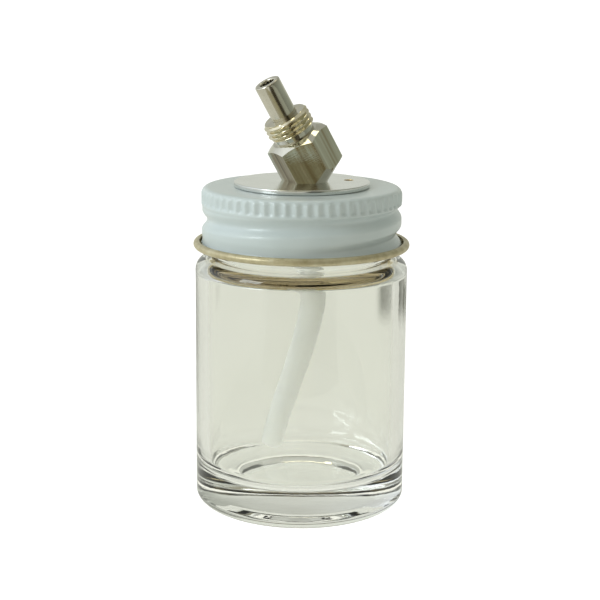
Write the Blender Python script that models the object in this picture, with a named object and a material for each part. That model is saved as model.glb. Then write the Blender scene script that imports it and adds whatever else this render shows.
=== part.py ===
"""Siphon-feed colour bottle assembly for an airbrush: glass jar, screw cap, cover disc,
tilted threaded fitting with its colour tube, and the dip tube inside the jar.

Frame: +Z up, origin at the centre of the jar's base. The fitting leans towards -X and -Y.
Driving dimensions are in millimetres and are turned into metres by MM.
"""

import math

import bmesh
import bpy
from mathutils import Matrix, Vector

MM = 0.001

# --- glass jar -------------------------------------------------------------------------
JAR_R = 17.75            # outside radius of the straight body
JAR_WALL = 2.35
JAR_HEEL_R = 13.25       # outer edge of the flat bearing ring
JAR_HEEL_H = 2.5         # height of the rounded heel
JAR_RING_R = 12.1        # inner edge of the flat bearing ring
JAR_PUSH_UP = 1.0        # depth of the hollow under the base
FLOOR_Z = 6.2            # inside floor at the foot of its corner fillet
FLOOR_FILLET = 3.0
SHOULDER_Z = 42.9        # top of the shoulder
SHOULDER_FILLET = 2.1
NECK_R = 14.85
NECK_BORE_R = 12.8
RIM_Z = 53.3

# --- thread between jar and cap (right-hand, one start) -----------------------------------
PITCH = 25.4 / 6.0       # six turns per inch
GROOVE_Z_LEFT = 49.2     # height of the cap's rolled groove on the -X side
GROOVE_FROM, GROOVE_TO = -40.0, 395.0    # its span in degrees about +Z, from +X
RIDGE_FROM, RIDGE_TO = -60.0, 300.0      # span of the ridge on the neck
RIDGE_OVER_GROOVE = 1.35                 # the ridge rides this far above the groove's centre
RIDGE_R = 15.95
RIDGE_HALF_FOOT, RIDGE_HALF_CREST = 0.85, 0.35

# --- screw cap -------------------------------------------------------------------------
CAP_TOP_Z = 54.7
CAP_R = 16.7             # over the knurled band
CAP_SHEET = 0.30
CAP_EDGE = 1.1           # rounding of the top edge
BAND_LOW_Z = 51.6        # lower edge of the knurled band
SKIRT_R = 16.55
GROOVE_DEPTH = 0.88
GROOVE_HALF = 1.15
CURL_R = 17.35           # centre circle of the rolled curl
CURL_Z = 45.1
CURL_TUBE_R = 0.75
CAP_HOLE_R = 3.35
VENT_X, VENT_Y, VENT_R = 7.8, 1.5, 0.75

# --- sealing ring, disc, washers, nut ------------------------------------------------------
LINER_R0, LINER_R1 = 11.3, 15.5
LINER_Z0, LINER_Z1 = 53.42, 54.30
DISC_R = 11.3
DISC_Z0, DISC_Z1 = 54.80, 55.55
SHANK_HOLE_R = 3.30
DISC_HOLE_R = 2.0         # only the stub passes the disc; the shank stops under it
SHANK_TOP_Z = 54.72
BACKING_R, BACKING_Z0, BACKING_Z1 = 6.9, 53.45, 54.28
LOCKWASHER_R, LOCKWASHER_Z0, LOCKWASHER_Z1 = 5.1, 52.50, 53.35
NUT_FLATS, NUT_Z0, NUT_Z1 = 9.525, 50.0, 52.40
NUT_BORE_R = 3.22

# --- tilted fitting -------------------------------------------------------------------------
TILT_AXIS = Vector((-0.453, -0.211, 0.866)).normalized()
TILT_POINT = Vector((0.0, 0.0, 60.8))    # where the tilted axis crosses the vertical centre line
HEX_FLATS = 9.525        # three eighths of an inch across flats
HEX_TURN_DEG = -5.77     # how the hexagon is clocked about the tilted axis
HEX_TOP = 2.8            # distances along the tilted axis from TILT_POINT
HEX_FACE_R = 3.94        # where the 30 degree chamfer meets the top face
SEAT_Z = 55.66           # the fitting's turned seat on the disc
SEAT_R = 4.25
SEAT_HALF_ANGLE = 30.0
UNDERCUT_R = 3.45
THREAD_FROM, THREAD_TO = 3.6, 6.6
THREAD_R = 3.97          # 5/16 - 32 male thread
THREAD_PITCH = 25.4 / 32.0
THREAD_DEPTH = 0.45
TUBE_R, TUBE_BORE_R = 2.165, 1.30
TUBE_FROM, TUBE_TO = 0.6, 13.0
TUBE_SEAT_R = 2.26       # bore in the fitting for the colour tube

# --- feed nipple and dip tube --------------------------------------------------------------
SHANK_R = 3.10
SHANK_Z0 = 49.9
STUB_R, STUB_TOP_Z = 1.90, 58.8
STUB_SEAT_R, STUB_SEAT_TOP = 2.0, 59.0
NIPPLE_BORE_R = 0.90
BARB_Z = 44.3
DIP_TOP_Z = 49.2
DIP_STRAIGHT_Z = 44.5    # the dip tube is straight over the barbs down to here
DIP_KNEE = Vector((1.95, 3.30, 34.0))
DIP_END = Vector((-5.10, 11.10, 7.15))
DIP_KNEE_SLOPE = Vector((-0.17, 0.29, -1.0))
DIP_END_SLOPE = Vector((-0.22, 0.30, -1.0))


def clear_scene():
    for obj in list(bpy.data.objects):
        bpy.data.objects.remove(obj, do_unlink=True)


def material(name, colour, roughness, metallic=0.0, transmission=0.0, ior=1.45):
    made = bpy.data.materials.new(name)
    made.use_nodes = True
    shader = made.node_tree.nodes["Principled BSDF"]
    shader.inputs["Base Color"].default_value = (*colour, 1.0)
    shader.inputs["Roughness"].default_value = roughness
    shader.inputs["Metallic"].default_value = metallic
    shader.inputs["Transmission Weight"].default_value = transmission
    shader.inputs["IOR"].default_value = ior
    made.diffuse_color = (*colour, 1.0)
    return made


def empty(name, parent=None):
    made = bpy.data.objects.new(name, None)
    made.empty_display_size = 5 * MM
    made.parent = parent
    bpy.context.scene.collection.objects.link(made)
    return made


def add_object(name, bm, mat=None, parent=None, sharp=35.0):
    """The bmesh as an object, its normals facing out and its round faces smooth."""
    bmesh.ops.recalc_face_normals(bm, faces=bm.faces)
    mesh = bpy.data.meshes.new(name)
    bm.to_mesh(mesh)
    bm.free()
    if mesh_volume(mesh) < 0:
        mesh.flip_normals()
    mesh.shade_smooth()
    mesh.set_sharp_from_angle(angle=math.radians(sharp))
    obj = bpy.data.objects.new(name, mesh)
    if mat:
        mesh.materials.append(mat)
    obj.parent = parent
    bpy.context.scene.collection.objects.link(obj)
    return obj


def mesh_volume(mesh):
    mesh.calc_loop_triangles()
    total = 0.0
    for tri in mesh.loop_triangles:
        a, b, c = (mesh.vertices[i].co for i in tri.vertices)
        total += a.dot(b.cross(c)) / 6.0
    return total


def turned(profile, segments, phase=0.0):
    """A bmesh turned about Z from a closed (radius, height) profile in millimetres."""
    bm = bmesh.new()
    start = Matrix.Rotation(phase, 4, "Z")
    verts = [bm.verts.new(start @ Vector((r * MM, 0.0, z * MM))) for r, z in profile]
    edges = [bm.edges.new((verts[i], verts[(i + 1) % len(verts)])) for i in range(len(verts))
             if not (profile[i][0] == 0 and profile[(i + 1) % len(verts)][0] == 0)]
    bmesh.ops.spin(bm, geom=verts + edges, cent=(0, 0, 0), axis=(0, 0, 1),
                   angle=2 * math.pi, steps=segments, use_merge=True, use_duplicate=False)
    bmesh.ops.remove_doubles(bm, verts=bm.verts, dist=1e-6)
    return bm


def prism(corners, radius, z0, z1, phase=0.0):
    """A regular prism about Z, its first corner at the given phase."""
    bm = bmesh.new()
    ring = [bm.verts.new((radius * MM * math.cos(phase + 2 * math.pi * k / corners),
                          radius * MM * math.sin(phase + 2 * math.pi * k / corners), z0 * MM))
            for k in range(corners)]
    face = bm.faces.new(ring)
    grown = bmesh.ops.extrude_face_region(bm, geom=[face])
    top = [v for v in grown["geom"] if isinstance(v, bmesh.types.BMVert)]
    bmesh.ops.translate(bm, verts=top, vec=(0, 0, (z1 - z0) * MM))
    return bm


def cutter(name, bm):
    obj = add_object(name, bm)
    obj.hide_render = True
    obj.display_type = "WIRE"
    return obj


def boolean(obj, other, operation):
    step = obj.modifiers.new(other.name, "BOOLEAN")
    step.operation = operation
    step.solver = "EXACT"
    step.object = other


def tilted(obj):
    """Puts an object drawn about its own Z onto the tilted axis."""
    side = Vector((TILT_AXIS.z, 0.0, -TILT_AXIS.x)).normalized()
    across = TILT_AXIS.cross(side)
    turn = Matrix((side, across, TILT_AXIS)).transposed()
    obj.rotation_mode = "QUATERNION"
    obj.rotation_quaternion = turn.to_quaternion()
    obj.location = TILT_POINT * MM
    return obj


def arc(cx, cz, rx, rz, a0, a1, steps):
    """Points of an ellipse's arc, angles in degrees from +radius towards +height."""
    return [(cx + rx * math.cos(math.radians(a0 + (a1 - a0) * k / steps)),
             cz + rz * math.sin(math.radians(a0 + (a1 - a0) * k / steps)))
            for k in range(steps + 1)]


def groove_z(degrees):
    """Height of the cap's rolled groove at this angle along its helix."""
    return GROOVE_Z_LEFT + PITCH * (degrees - 180.0) / 360.0


def groove_at(degrees, z):
    """How deep the rolled groove is pressed in here, in millimetres."""
    deepest = 0.0
    for turn in (-1, 0, 1):
        along = degrees + 360.0 * turn
        if not GROOVE_FROM <= along <= GROOVE_TO:
            continue
        off = abs(z - groove_z(along))
        if off >= GROOVE_HALF:
            continue
        end = min(1.0, (along - GROOVE_FROM) / 40.0, (GROOVE_TO - along) / 40.0)
        end = end * end * (3 - 2 * end)
        deepest = max(deepest, end * math.cos(0.5 * math.pi * off / GROOVE_HALF) ** 2)
    return GROOVE_DEPTH * deepest


def neck_ridge():
    """The helical ridge on the jar's neck, run out at both ends."""
    bm = bmesh.new()
    steps = 50
    last = None
    for k in range(steps + 1):
        along = RIDGE_FROM + (RIDGE_TO - RIDGE_FROM) * k / steps
        angle = math.radians(along)
        z = groove_z(along) + RIDGE_OVER_GROOVE
        end = min(1.0, (k + 1.3) / 6.0, (steps - k + 1.3) / 6.0)
        crest = NECK_R + (RIDGE_R - NECK_R) * end
        section = ((NECK_R - 0.9, -RIDGE_HALF_FOOT - 0.4), (crest, -RIDGE_HALF_CREST),
                   (crest, RIDGE_HALF_CREST), (NECK_R - 0.9, RIDGE_HALF_FOOT + 0.4))
        ring = [bm.verts.new((r * MM * math.cos(angle), r * MM * math.sin(angle), (z + dz) * MM))
                for r, dz in section]
        if last:
            for i in range(len(ring)):
                j = (i + 1) % len(ring)
                bm.faces.new((last[i], last[j], ring[j], ring[i]))
        else:
            bm.faces.new(ring)
        last = ring
    bm.faces.new(last)
    return bm


def jar_profile():
    inner = JAR_R - JAR_WALL
    points = [(0.0, JAR_PUSH_UP), (8.0, JAR_PUSH_UP * 0.9), (JAR_RING_R - 0.9, 0.3),
              (JAR_RING_R, 0.0)]
    points += arc(JAR_HEEL_R, JAR_HEEL_H, JAR_R - JAR_HEEL_R, JAR_HEEL_H, -90, 0, 4)
    points += [(JAR_R, 38.0)]
    corner = SHOULDER_FILLET
    points += arc(JAR_R - corner, SHOULDER_Z - corner, corner, corner, 0, 78, 3)
    points += [(NECK_R + 0.25, SHOULDER_Z + 0.45), (NECK_R, SHOULDER_Z + 1.0)]
    points += arc(NECK_R - 0.7, RIM_Z - 0.7, 0.7, 0.7, 0, 90, 2)
    points += arc(NECK_BORE_R + 0.5, RIM_Z - 0.5, 0.5, 0.5, 90, 180, 1)
    points += [(NECK_BORE_R, SHOULDER_Z - 0.5), (NECK_BORE_R + 0.7, SHOULDER_Z - 1.7),
               (inner - 0.7, SHOULDER_Z - 2.25), (inner, SHOULDER_Z - 3.0)]
    points += arc(inner - FLOOR_FILLET, FLOOR_Z + FLOOR_FILLET, FLOOR_FILLET, FLOOR_FILLET,
                  0, -90, 4)
    points += [(inner - FLOOR_FILLET - 1.0, FLOOR_Z - 0.25), (0.0, FLOOR_Z - 0.6)]
    return points


def cap_bmesh(segments=48):
    """The shell turned from its sheet, then the groove pressed into the skirt."""
    t = CAP_SHEET
    rows = [BAND_LOW_Z - 0.6 * k for k in range(1, 9)]
    outer = [(CAP_HOLE_R, CAP_TOP_Z)]
    outer += arc(CAP_R - CAP_EDGE, CAP_TOP_Z - CAP_EDGE, CAP_EDGE, CAP_EDGE, 90, 0, 3)
    outer += [(CAP_R, BAND_LOW_Z + 0.25), (SKIRT_R, BAND_LOW_Z)]
    outer += [(SKIRT_R, z) for z in rows]
    curl = arc(CURL_R, CURL_Z, CURL_TUBE_R, CURL_TUBE_R, 150, -90, 5)
    inner = [(SKIRT_R - t + 0.05, CURL_Z - CURL_TUBE_R)]
    inner += [(SKIRT_R - t, z) for z in reversed(rows)]
    inner += [(SKIRT_R - t, BAND_LOW_Z + 0.2)]
    inner += arc(CAP_R - CAP_EDGE, CAP_TOP_Z - CAP_EDGE, CAP_EDGE - t, CAP_EDGE - t, 0, 90, 2)
    inner += [(CAP_HOLE_R, CAP_TOP_Z - t)]
    bm = turned(outer + curl + inner, segments)
    for vert in bm.verts:
        radius = math.hypot(vert.co.x, vert.co.y) / MM
        z = vert.co.z / MM
        if radius > SKIRT_R + 0.02 or radius < SKIRT_R - t - 0.02:
            continue
        if not CURL_Z + 0.9 < z < BAND_LOW_Z + 0.5:
            continue
        pressed = groove_at(math.degrees(math.atan2(vert.co.y, vert.co.x)) % 360.0, z)
        shrink = (radius - pressed) / radius
        vert.co.x *= shrink
        vert.co.y *= shrink
    return bm


def fitting_neck_profile():
    """Undercut and male thread, as turned rings, about the tilted axis."""
    root = THREAD_R - THREAD_DEPTH
    points = [(0.0, HEX_TOP - 1.5), (UNDERCUT_R, HEX_TOP - 1.5), (UNDERCUT_R, THREAD_FROM)]
    z = THREAD_FROM
    while z + THREAD_PITCH < THREAD_TO:
        points += [(root, z + 0.08), (THREAD_R, z + 0.5 * THREAD_PITCH - 0.05),
                   (THREAD_R, z + 0.5 * THREAD_PITCH + 0.05), (root, z + THREAD_PITCH - 0.08)]
        z += THREAD_PITCH
    points += [(root, THREAD_TO - 0.1), (root - 0.1, THREAD_TO), (0.0, THREAD_TO)]
    return points


def dip_point(u):
    """Centre of the dip tube, u from 0 at its top to 3 at its open end."""
    if u <= 1.0:
        return Vector((0, 0, DIP_TOP_Z + (DIP_STRAIGHT_Z - DIP_TOP_Z) * u))
    if u <= 2.0:
        a, b, t = Vector((0, 0, DIP_STRAIGHT_Z)), DIP_KNEE, u - 1.0
        ta, tb = Vector((0.0, 0.12, -1.0)), DIP_KNEE_SLOPE
    else:
        a, b, t = DIP_KNEE, DIP_END, u - 2.0
        ta, tb = DIP_KNEE_SLOPE, DIP_END_SLOPE
    span = abs(b.z - a.z)
    h00, h10 = 2 * t**3 - 3 * t**2 + 1, t**3 - 2 * t**2 + t
    h01, h11 = -2 * t**3 + 3 * t**2, t**3 - t**2
    return a * h00 + ta * (span * h10) + b * h01 + tb * (span * h11)


def dip_radii(u):
    """(outside, inside) radius: stretched over the barbs, then tapering to the end."""
    if u < 1.0:
        return 2.40, 1.86
    ease = min(1.0, (u - 1.0) / 0.25)
    taper = (u - 1.0) / 2.0
    outside, inside = 2.18 - 0.48 * taper, 1.62 - 0.42 * taper
    return 2.40 + (outside - 2.40) * ease, 1.86 + (inside - 1.86) * ease


def dip_tube(sides=10):
    bm = bmesh.new()
    stations = [0.0, 0.5, 0.98] + [1.0 + 0.2 * k for k in range(1, 5)] \
        + [2.0 + 0.125 * k for k in range(9)]
    sideways = Vector((1, 0, 0))
    rings = []
    for u in stations:
        ahead = (dip_point(min(3.0, u + 0.01)) - dip_point(max(0.0, u - 0.01))).normalized()
        sideways = (sideways - ahead * sideways.dot(ahead)).normalized()
        across = ahead.cross(sideways)
        centre = dip_point(u)
        pair = []
        for radius in dip_radii(u):
            pair.append([bm.verts.new(
                (centre + (sideways * math.cos(2 * math.pi * k / sides)
                           + across * math.sin(2 * math.pi * k / sides)) * radius) * MM)
                for k in range(sides)])
        rings.append(pair)
    for near, far in zip(rings, rings[1:]):
        for k in range(sides):
            j = (k + 1) % sides
            bm.faces.new((near[0][k], near[0][j], far[0][j], far[0][k]))
            bm.faces.new((near[1][j], near[1][k], far[1][k], far[1][j]))
    for outer, inner in (rings[0], rings[-1]):
        for k in range(sides):
            j = (k + 1) % sides
            bm.faces.new((outer[k], outer[j], inner[j], inner[k]))
    return bm


def nipple_profile():
    points = [(NIPPLE_BORE_R, BARB_Z), (1.30, BARB_Z), (1.72, BARB_Z + 1.2),
              (1.45, BARB_Z + 1.3), (1.72, BARB_Z + 2.6), (1.45, BARB_Z + 2.7),
              (1.50, SHANK_Z0 - 0.5), (2.60, SHANK_Z0 - 0.45), (SHANK_R, SHANK_Z0)]
    z = SHANK_Z0
    pitch = 25.4 / 28.0
    while z + pitch < SHANK_TOP_Z:
        points += [(SHANK_R, z + 0.25 * pitch), (SHANK_R - 0.45, z + 0.6 * pitch),
                   (SHANK_R, z + 0.95 * pitch)]
        z += pitch
    points += [(SHANK_R, SHANK_TOP_Z), (STUB_R, SHANK_TOP_Z), (STUB_R, STUB_TOP_Z - 0.3),
               (STUB_R - 0.3, STUB_TOP_Z), (NIPPLE_BORE_R, STUB_TOP_Z)]
    return points


def washer(r0, r1, z0, z1, segments=24, ease=0.08):
    return turned([(r0, z0), (r1 - ease, z0), (r1, z0 + ease), (r1, z1 - ease),
                   (r1 - ease, z1), (r0, z1)], segments)


def build():
    clear_scene()
    glass = material("clear_glass", (0.86, 0.90, 0.86), 0.03, 0.0, 1.0, 1.52)
    enamel = material("white_enamel", (0.78, 0.84, 0.84), 0.32)
    pulp = material("liner_pulp", (0.62, 0.52, 0.31), 0.7)
    polished = material("polished_disc", (0.80, 0.80, 0.79), 0.14, 1.0)
    nickel = material("nickel_plate", (0.72, 0.70, 0.64), 0.18, 1.0)
    tube_nickel = material("tube_nickel", (0.70, 0.67, 0.60), 0.16, 1.0)
    brass = material("nipple_brass", (0.72, 0.58, 0.32), 0.28, 1.0)
    zinc = material("zinc_plate", (0.66, 0.67, 0.68), 0.35, 1.0)
    spring = material("spring_steel", (0.50, 0.50, 0.52), 0.38, 1.0)
    nut_steel = material("nut_steel", (0.62, 0.62, 0.63), 0.30, 1.0)
    poly = material("milky_polythene", (0.88, 0.90, 0.88), 0.35, 0.0, 0.5, 1.5)

    jar_frame = empty("jar_frame")
    lift_axis = empty("cap_lift_axis", jar_frame)
    turn_axis = empty("cap_turn_axis", lift_axis)
    swivel_axis = empty("feed_swivel_axis", turn_axis)

    jar = add_object("glass_jar", turned(jar_profile(), 48), glass, jar_frame, 28.0)
    boolean(jar, cutter("neck_ridge", neck_ridge()), "UNION")

    add_object("sealing_liner", washer(LINER_R0, LINER_R1, LINER_Z0, LINER_Z1, 32), pulp, lift_axis)

    vent = prism(12, VENT_R, BACKING_Z0 - 1.0, DISC_Z1 + 1.0)
    bmesh.ops.translate(vent, verts=vent.verts, vec=(VENT_X * MM, VENT_Y * MM, 0))
    vent = cutter("vent_drill", vent)
    cap = add_object("cap_shell", cap_bmesh(), enamel, turn_axis)
    boolean(cap, vent, "DIFFERENCE")

    disc = add_object("cover_disc", washer(DISC_HOLE_R, DISC_R, DISC_Z0, DISC_Z1, 40, 0.12),
                      polished, swivel_axis)
    boolean(disc, vent, "DIFFERENCE")

    fitting = tilted(add_object(
        "hex_fitting",
        prism(6, HEX_FLATS / math.sqrt(3.0), -10.0, HEX_TOP, math.radians(HEX_TURN_DEG)),
        nickel, swivel_axis, 25.0))
    fall = math.tan(math.radians(30.0))
    chamfer = tilted(cutter("hex_chamfer", turned(
        [(0.0, -12.0), (7.5, -12.0), (7.5, HEX_TOP - (7.5 - HEX_FACE_R) * fall),
         (HEX_FACE_R, HEX_TOP), (0.0, HEX_TOP)], 36)))
    open_out = math.tan(math.radians(SEAT_HALF_ANGLE))
    seat = cutter("seat_cone", turned(
        [(0.0, SEAT_Z), (SEAT_R, SEAT_Z), (13.0, SEAT_Z + (13.0 - SEAT_R) / open_out),
         (13.0, SEAT_Z + 24.0), (0.0, SEAT_Z + 24.0)], 36))
    neck = tilted(cutter("thread_neck", turned(fitting_neck_profile(), 20)))
    tube_bore = tilted(cutter("tube_bore", prism(20, TUBE_SEAT_R, TUBE_FROM - 0.1, THREAD_TO + 2)))
    passage = tilted(cutter("colour_passage", prism(10, 1.0, -3.0, TUBE_FROM + 1)))
    stub_bore = cutter("stub_bore", prism(16, STUB_SEAT_R, SEAT_Z - 2.0, STUB_SEAT_TOP))
    boolean(fitting, chamfer, "INTERSECT")
    boolean(fitting, seat, "INTERSECT")
    boolean(fitting, neck, "UNION")
    boolean(fitting, tube_bore, "DIFFERENCE")
    boolean(fitting, passage, "DIFFERENCE")
    boolean(fitting, stub_bore, "DIFFERENCE")

    tilted(add_object("colour_tube", turned(
        [(TUBE_BORE_R, TUBE_FROM), (TUBE_R, TUBE_FROM), (TUBE_R, TUBE_TO - 0.3),
         (TUBE_R - 0.25, TUBE_TO), (TUBE_BORE_R, TUBE_TO)], 20), tube_nickel, swivel_axis))

    add_object("feed_nipple", turned(nipple_profile(), 16), brass, swivel_axis)
    add_object("backing_washer", washer(SHANK_HOLE_R, BACKING_R, BACKING_Z0, BACKING_Z1),
               zinc, swivel_axis)

    lock = add_object("lock_washer", washer(SHANK_HOLE_R, LOCKWASHER_R, LOCKWASHER_Z0,
                                            LOCKWASHER_Z1), spring, swivel_axis)
    gap = bmesh.new()
    bmesh.ops.create_cube(gap, size=1.0)
    bmesh.ops.scale(gap, verts=gap.verts, vec=(4 * MM, 0.6 * MM, 3 * MM))
    bmesh.ops.rotate(gap, verts=gap.verts, cent=(0, 0, 0),
                     matrix=Matrix.Rotation(math.radians(20), 3, "X"))
    bmesh.ops.translate(gap, verts=gap.verts,
                        vec=(4.2 * MM, 0, 0.5 * (LOCKWASHER_Z0 + LOCKWASHER_Z1) * MM))
    boolean(lock, cutter("washer_split", gap), "DIFFERENCE")

    nut = add_object("lock_nut", prism(6, NUT_FLATS / math.sqrt(3.0), NUT_Z0, NUT_Z1,
                                       math.radians(12)), nut_steel, swivel_axis, 25.0)
    flat = NUT_FLATS / 2 - 0.1
    drop = (6.5 - flat) * fall
    boolean(nut, cutter("nut_chamfer", turned(
        [(0.0, NUT_Z0), (flat, NUT_Z0), (6.5, NUT_Z0 + drop), (6.5, NUT_Z1 - drop),
         (flat, NUT_Z1), (0.0, NUT_Z1)], 24)), "INTERSECT")
    boolean(nut, cutter("nut_bore", prism(16, NUT_BORE_R, NUT_Z0 - 1, NUT_Z1 + 1)), "DIFFERENCE")

    add_object("siphon_tube", dip_tube(), poly, swivel_axis)


build()
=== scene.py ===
"""Looks of the siphon-feed colour bottle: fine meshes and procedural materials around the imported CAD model.

Lengths in the modelling code are millimetres, turned into metres by MM.
"""

import math

import bmesh
import bpy
import numpy as np
from mathutils import Matrix, Vector


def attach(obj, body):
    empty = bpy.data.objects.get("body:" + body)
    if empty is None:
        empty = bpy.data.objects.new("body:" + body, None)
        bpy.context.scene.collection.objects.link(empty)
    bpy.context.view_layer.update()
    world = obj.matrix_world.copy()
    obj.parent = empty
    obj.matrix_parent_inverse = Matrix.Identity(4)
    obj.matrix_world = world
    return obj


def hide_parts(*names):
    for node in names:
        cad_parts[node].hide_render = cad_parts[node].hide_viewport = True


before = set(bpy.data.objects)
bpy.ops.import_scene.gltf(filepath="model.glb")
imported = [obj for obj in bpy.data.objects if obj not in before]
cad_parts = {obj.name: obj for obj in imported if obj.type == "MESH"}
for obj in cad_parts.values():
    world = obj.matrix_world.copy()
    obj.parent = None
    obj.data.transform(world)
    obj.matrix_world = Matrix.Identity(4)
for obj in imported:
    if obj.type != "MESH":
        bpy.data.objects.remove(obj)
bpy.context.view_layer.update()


MM = 0.001
TAU = 2 * math.pi

# --- the part's own dimensions -----------------------------------------------------------
JAR_R, JAR_IN = 17.75, 15.40
FLOOR_Z, SHOULDER_Z = 6.2, 42.9
NECK_R, BORE_R, RIM_Z = 14.85, 12.8, 53.3
PITCH = 25.4 / 6.0
GROOVE_Z_LEFT, GROOVE_FROM, GROOVE_TO = 49.2, -100.0, 400.0
GROOVE_HALF, GROOVE_DEPTH = 1.65, 0.90
RIDGE_FROM, RIDGE_TO, RIDGE_OVER, RIDGE_R = -75.0, 270.0, 1.78, 15.95
CAP_TOP, CAP_R, SHEET, CAP_EDGE, BAND_LOW = 54.7, 16.7, 0.25, 1.1, 51.6
SKIRT_R = 16.56
CURL_C, CURL_Z, CURL_RHO = 17.42, 45.1, 0.52
FLUTES = 60
VENT = (7.8, 1.5, 0.72)
DISC_R, DISC_Z0, DISC_Z1 = 11.3, 54.74, 55.55
AXIS = Vector((-0.453, -0.211, 0.866)).normalized()
POINT = Vector((0.0, 0.0, 60.8))
HEX_FLATS, HEX_TURN, HEX_TOP, HEX_FACE_R = 9.525, -5.77, 2.8, 3.94
SEAT_Z, SEAT_R = 55.56, 4.25
THREAD_R, THREAD_PITCH, THREAD_DEPTH = 3.97, 25.4 / 32.0, 0.46
THREAD_FROM, THREAD_TO = 3.6, 6.6
UNDERCUT_R = 3.45
TUBE_R, TUBE_BORE, TUBE_TO = 2.165, 1.24, 12.95
SHANK_R, SHANK_Z0, BARB_Z = 3.10, 49.9, 44.3


# ------------------------------------------------------------------------------------------
# mesh code
# ------------------------------------------------------------------------------------------
def smooth(t):
    t = np.clip(t, 0.0, 1.0)
    return t * t * (3 - 2 * t)


def arc(cx, cz, rx, rz, a0, a1, steps):
    return [(cx + rx * math.cos(math.radians(a0 + (a1 - a0) * k / steps)),
             cz + rz * math.sin(math.radians(a0 + (a1 - a0) * k / steps)))
            for k in range(steps + 1)]


def run(a, b, steps):
    """Points from a towards b, without b."""
    return [(a[0] + (b[0] - a[0]) * k / steps, a[1] + (b[1] - a[1]) * k / steps)
            for k in range(steps)]


def make(name, verts, faces, sharp=30.0, paint=None):
    mesh = bpy.data.meshes.new(name)
    mesh.from_pydata([tuple(v) for v in verts], [], faces)
    mesh.update()
    if paint:
        mesh.polygons.foreach_set("material_index", paint)
    bm = bmesh.new()
    bm.from_mesh(mesh)
    bmesh.ops.remove_doubles(bm, verts=bm.verts, dist=1e-8)
    bmesh.ops.recalc_face_normals(bm, faces=bm.faces)
    if bm.calc_volume(signed=True) < 0:
        bmesh.ops.reverse_faces(bm, faces=bm.faces)
    bm.to_mesh(mesh)
    bm.free()
    mesh.shade_smooth()
    mesh.set_sharp_from_angle(angle=math.radians(sharp))
    obj = bpy.data.objects.new(name, mesh)
    bpy.context.scene.collection.objects.link(obj)
    return obj


def turned(name, rows, segments, shape=None, sharp=30.0, closed=True, paint=None):
    """A solid turned about Z from a closed loop of (radius, height) rows.

    shape(r, z, phi, row) may return moved (r, z) arrays for the whole ring, and
    paint(row) gives the material index of the band that starts at a row."""
    phi = np.arange(segments) * TAU / segments
    verts, rings = [], []
    for index, (r, z) in enumerate(rows):
        if r < 1e-9:
            rings.append([len(verts)] * segments)
            verts.append((0.0, 0.0, z * MM))
            continue
        rr, zz = np.full(segments, float(r)), np.full(segments, float(z))
        if shape:
            rr, zz = shape(rr, zz, phi, index)
        start = len(verts)
        rings.append(list(range(start, start + segments)))
        verts.extend(zip(rr * np.cos(phi) * MM, rr * np.sin(phi) * MM, zz * MM))
    faces, indices = [], []
    pairs = list(zip(rings, rings[1:]))
    if closed:
        pairs.append((rings[-1], rings[0]))
    for row, (near, far) in enumerate(pairs):
        if near[0] == near[1] and far[0] == far[1]:
            continue
        for k in range(segments):
            j = (k + 1) % segments
            loop = [near[k], near[j], far[j], far[k]]
            faces.append([v for i, v in enumerate(loop) if v != loop[i - 1]])
            indices.append(paint(row) if paint else 0)
    return make(name, verts, faces, sharp, indices if paint else None)


def polygon_prism(name, corners, radius, z0, z1, phase=0.0):
    ring = [(radius * MM * math.cos(phase + TAU * k / corners),
             radius * MM * math.sin(phase + TAU * k / corners)) for k in range(corners)]
    verts = [(x, y, z0 * MM) for x, y in ring] + [(x, y, z1 * MM) for x, y in ring]
    faces = [list(range(corners))[::-1], list(range(corners, 2 * corners))]
    faces += [[k, (k + 1) % corners, corners + (k + 1) % corners, corners + k] for k in range(corners)]
    return make(name, verts, faces)


def rounded_prism(name, corners, radius, z0, z1, phase, soft, steps=3):
    """A prism with a small radius on each upright edge."""
    ring = []
    inset = soft / math.cos(math.pi / corners)
    for k in range(corners):
        angle = phase + TAU * k / corners
        cx, cy = (radius - inset) * math.cos(angle), (radius - inset) * math.sin(angle)
        for i in range(steps + 1):
            turn = angle + (i / steps - 0.5) * TAU / corners
            ring.append(((cx + soft * math.cos(turn)) * MM, (cy + soft * math.sin(turn)) * MM))
    count = len(ring)
    verts = [(x, y, z0 * MM) for x, y in ring] + [(x, y, z1 * MM) for x, y in ring]
    faces = [list(range(count))[::-1], list(range(count, 2 * count))]
    faces += [[k, (k + 1) % count, count + (k + 1) % count, count + k] for k in range(count)]
    return make(name, verts, faces)


def tilt_matrix():
    side = Vector((AXIS.z, 0.0, -AXIS.x)).normalized()
    across = AXIS.cross(side)
    turn = Matrix((side, across, AXIS)).transposed().to_4x4()
    return Matrix.Translation(POINT * MM) @ turn


TILT = tilt_matrix()


def tilted(obj):
    obj.data.transform(TILT)
    return obj


def apply_modifiers(obj):
    graph = bpy.context.evaluated_depsgraph_get()
    graph.update()
    done = bpy.data.meshes.new_from_object(obj.evaluated_get(graph))
    obj.modifiers.clear()
    old = obj.data
    obj.data = done
    bpy.data.meshes.remove(old)
    return obj


def cut(obj, other, operation="DIFFERENCE", keep=False):
    step = obj.modifiers.new("cut", "BOOLEAN")
    step.operation, step.solver, step.object = operation, "EXACT", other
    bpy.context.view_layer.update()
    apply_modifiers(obj)
    if not keep:
        bpy.data.objects.remove(other, do_unlink=True)
    return obj


def shade(obj, sharp=30.0):
    """Smooth shading that keeps large flats truly flat."""
    obj.data.shade_smooth()
    obj.data.set_sharp_from_angle(angle=math.radians(sharp))
    step = obj.modifiers.new("normals", "WEIGHTED_NORMAL")
    step.mode, step.weight, step.keep_sharp = "FACE_AREA_WITH_ANGLE", 80, True
    return apply_modifiers(obj)


def assign(obj, *mats):
    obj.data.materials.clear()
    for mat in mats:
        obj.data.materials.append(mat)
    return obj


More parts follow.
